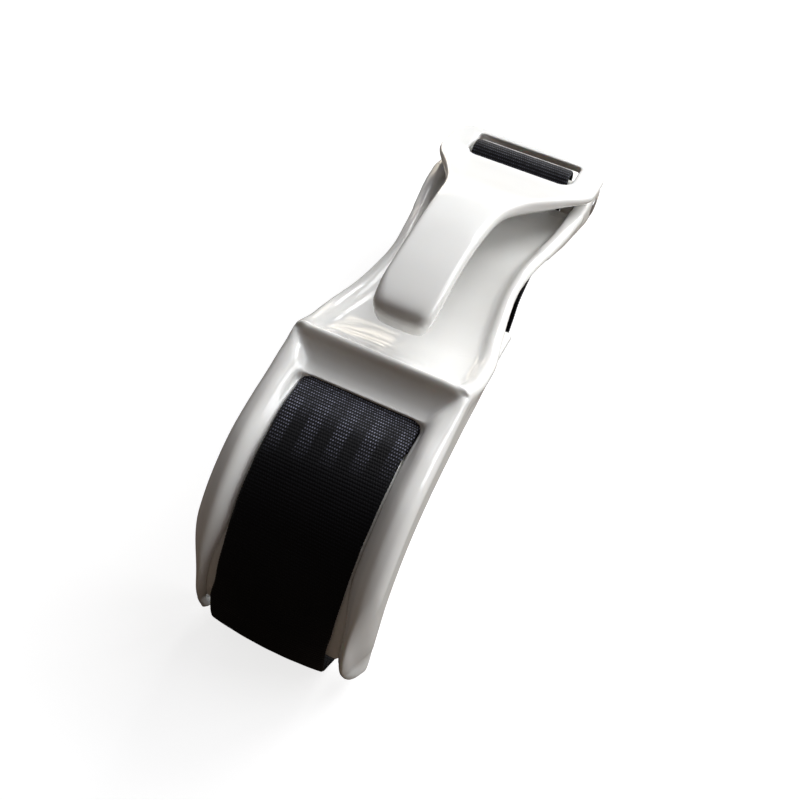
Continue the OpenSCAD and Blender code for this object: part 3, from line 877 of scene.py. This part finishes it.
for obj, body, part, slot in ((shell_obj, "body", "upper_shell", "shell_plastic"),
                              (plate_obj, "body", "arc_plate", "plate_plastic"),
                              (lever_obj, "lever", "lever_shell", "lever_plastic"),
                              (cover_obj, "lever", "lever_under_cover", "plate_plastic")):
    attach(obj, body)
    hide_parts(part)
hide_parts("strap_eye", "strap_trough_run", "strap_end_bend",
            "strap_under_run", "strap_riser", "strap_bar_wrap", "strap_tail")
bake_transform(webbing_obj)


# ---------------------------------------------------------------------------
# Floor, lights, world and camera, in metres
# ---------------------------------------------------------------------------
def floor_material():
    mat = Mat("floor_pale")
    coords = mat.coords()
    mottle = mat.ramp(mat.noise(coords, scale=3.0, detail=4.0), to=(0, 1), over=(0.3, 0.7))
    mat.shade({"Base Color": mat.mix(mottle, (0.44, 0.44, 0.439), (0.46, 0.46, 0.459)),
               "Roughness": 0.9, "Specular IOR Level": 0.1,
               "Emission Color": (1, 1, 1), "Emission Strength": 0.78})
    # Other rays see a dim floor that glows towards +y
    dim = mat.filled("ShaderNodeBsdfDiffuse", {"Color": (0.17, 0.135, 0.105)})
    glow = mat.emission(color=(1.0, 0.99, 0.97), strength=1.1)
    fade = mat.ramp(mat.axis(coords, "Y"), to=(0.0, 1.0), over=(0.14, 0.50))
    bounced = mat.mix_shader(fade, dim, glow)
    seen = mat.mix_shader(mat.camera_ray(), bounced, mat.bsdf.outputs[0])
    # Seen from underneath the floor is clear
    clear = mat.node("ShaderNodeBsdfTransparent").outputs[0]
    underneath = mat.node("ShaderNodeNewGeometry").outputs["Backfacing"]
    mat.put(mat.surface, mat.mix_shader(underneath, seen, clear))
    return mat.material


def slat_material():
    """Glow in horizontal bars, 60 to the metre."""
    mat = Mat("slat_glow", principled=False)
    lifted = mat.calc("ADD", mat.axis(mat.coords(), "Z"), 0.004)
    bars = mat.calc("FRACT", mat.calc("MULTIPLY", lifted, 60.0))
    strength = mat.ramp(bars, to=(0.2, 6.0), over=(0.40, 0.48))
    mat.put(mat.surface, mat.emission(color=(1.0, 0.91, 0.77), strength=strength))
    return mat.material


def panel(name, corners, material):
    mesh = bpy.data.meshes.new(name)
    mesh.from_pydata(corners, [], [(0, 1, 2, 3)])
    obj = bpy.data.objects.new(name, mesh)
    bpy.context.scene.collection.objects.link(obj)
    mesh.materials.append(material)
    return obj


FLOOR_HALF, FLOOR_Z = 6.0, -0.0004
floor = panel("floor", [(x * FLOOR_HALF, y * FLOOR_HALF, FLOOR_Z)
                        for x, y in ((-1, -1), (1, -1), (1, 1), (-1, 1))], floor_material())

# Light through slats, seen only as a reflection in glossy surfaces
slats = panel("slats", [(-0.105, 0.16, 0.001), (-0.050, 0.16, 0.001),
                        (-0.046, 0.16, 0.076), (-0.105, 0.16, 0.076)], slat_material())
slats.visible_camera = False
slats.visible_diffuse = False
slats.visible_shadow = False
slats.visible_transmission = False

LIGHT_TARGET = Vector((0, 0, 0.03))


def area_light(name, place, size, power, color):
    light = bpy.data.lights.new(name, "AREA")
    light.shape = "RECTANGLE"
    light.size, light.size_y = size
    light.energy = power
    light.color = color
    obj = bpy.data.objects.new(name, light)
    bpy.context.scene.collection.objects.link(obj)
    obj.location = place
    obj.rotation_euler = (LIGHT_TARGET - Vector(place)).to_track_quat("-Z", "Y").to_euler()


area_light("key_back", place=(0.30, 0.95, 0.52), size=(0.9, 0.5), power=13.2,
           color=(1.0, 0.995, 0.985))
area_light("top_soft", place=(0.42, 0.72, 0.86), size=(0.7, 0.7), power=2.8,
           color=(0.92, 0.96, 1.0))
area_light("side_right", place=(0.86, 0.40, 0.34), size=(0.5, 0.5), power=4.9,
           color=(0.96, 0.98, 1.0))


def build_world():
    """Dim and warm towards -y, pale towards +y; the camera sees a plain backdrop."""
    studio = bpy.data.worlds.new("studio")
    bpy.context.scene.world = studio
    studio.use_nodes = True
    nodes = Nodes(studio.node_tree)
    fade = nodes.ramp(nodes.axis(nodes.coords("Generated"), "Y"), to=(0.0, 1.0),
                      over=(-0.35, 0.65), kind="SMOOTHSTEP")
    room = studio.node_tree.nodes["Background"]
    nodes.put(room.inputs[0], nodes.mix(fade, (0.085, 0.064, 0.049), (0.33, 0.345, 0.37)))
    room.inputs[1].default_value = 1.0
    backdrop = nodes.filled("ShaderNodeBackground", {0: (0.86, 0.865, 0.87)})
    view = nodes.mix_shader(nodes.camera_ray(), room.outputs[0], backdrop)
    nodes.put(studio.node_tree.nodes["World Output"].inputs[0], view)


def build_camera():
    data = bpy.data.cameras.new("cam")
    data.sensor_width = 36.0
    data.lens = 40.5
    data.clip_start = 0.01
    camera = bpy.data.objects.new("cam", data)
    bpy.context.scene.collection.objects.link(camera)
    right = Vector((0.89756, 0.44089, 0.0))
    down = Vector((0.38396, -0.78167, -0.49150))
    forward = Vector((-0.21670, 0.44116, -0.87088))
    place = world([65.58, -108.26, 224.76])
    camera.matrix_world = Matrix([*zip(right, -down, -forward, place), (0, 0, 0, 1)])
    bpy.context.scene.camera = camera


build_world()
build_camera()
bpy.context.scene.view_settings.view_transform = "Standard"
